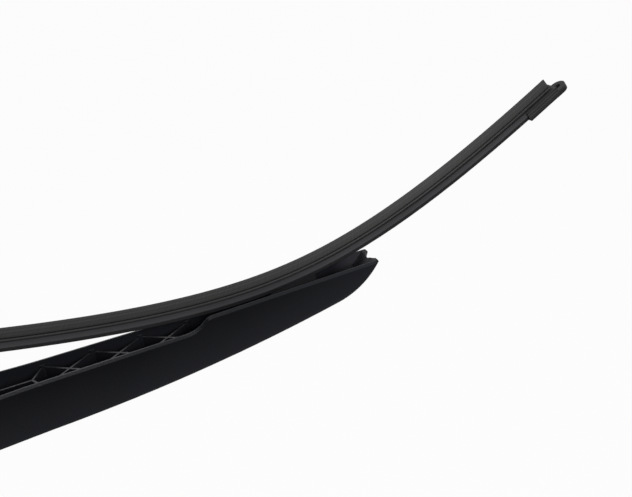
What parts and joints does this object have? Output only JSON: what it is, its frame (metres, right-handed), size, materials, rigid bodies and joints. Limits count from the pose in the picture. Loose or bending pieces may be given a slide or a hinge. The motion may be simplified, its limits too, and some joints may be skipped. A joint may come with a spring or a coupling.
{
  "type": "rear wiper arm and blade",
  "caption": "Sprung rear window wiper: a truss-ribbed channel arm hinged to its spindle head, with a flip cover over the nut and a bowed flat blade pivoted near the tip.",
  "frame": {"origin": "centre of the spindle bore at the face that the spindle nut seats on", "axes": "+X along the arm towards its tip, +Z along the spindle towards the glass, Y across the arm; stored lying on its back with the rubber lip up"},
  "size_m": [0.4191, 0.0338, 0.0947],
  "materials": {
    "arm_plastic": "satin, fine moulded grain",
    "cover_plastic": "satin, fine moulded grain",
    "blade_plastic": "satin",
    "clip_plastic": "satin",
    "wiper_rubber": "matt, graphite coated lip",
    "steel": "zinc plated",
    "spring_steel": "dark drawn wire",
    "bush_metal": "plain turned"
  },
  "bodies": {
    "head": {"arm_head": "arm_plastic", "spindle_bush": "steel", "hinge_bush_near": "bush_metal", "hinge_bush_far": "bush_metal", "link_pin": "steel"},
    "cover": {"nut_cover": "cover_plastic"},
    "arm": {"arm_beam": "arm_plastic", "hinge_pin": "steel", "spring_pin": "steel", "tension_spring": "spring_steel"},
    "link": {"spring_link": "steel"},
    "blade": {"blade_carrier": "blade_plastic", "pivot_clip": "clip_plastic", "wiper_rubber": "wiper_rubber", "rail_near": "steel", "rail_far": "steel", "end_cap_outer": "blade_plastic", "end_cap_inner": "blade_plastic"}
  },
  "joints": [
    {"name": "arm_lift", "type": "hinge", "parent": "head", "child": "arm", "pos_m": [0.044, 0, -0.002], "axis": [0, 1, 0], "range_deg": [0, 50], "stiffness_Nm_per_rad": 0.4, "springref_deg": -114.59, "deforming": ["tension_spring"]},
    {"name": "link_slide", "type": "slide", "parent": "arm", "child": "link", "axis": [-1, 0, 0], "range_m": [0, 0.007], "deforming": ["tension_spring"]},
    {"name": "blade_pivot", "type": "hinge", "parent": "arm", "child": "blade", "pos_m": [0.251, 0, 0.0125], "axis": [0, 1, 0], "range_deg": [-6, 10]},
    {"name": "cover_flip", "type": "hinge", "parent": "head", "child": "cover", "pos_m": [0.0245, 0, -0.0095], "axis": [0, -1, 0], "range_deg": [0, 90]}
  ],
  "couplings": [
    {"joint": "link_slide", "follows": "arm_lift", "m_per_rad": 0.00775}
  ]
}
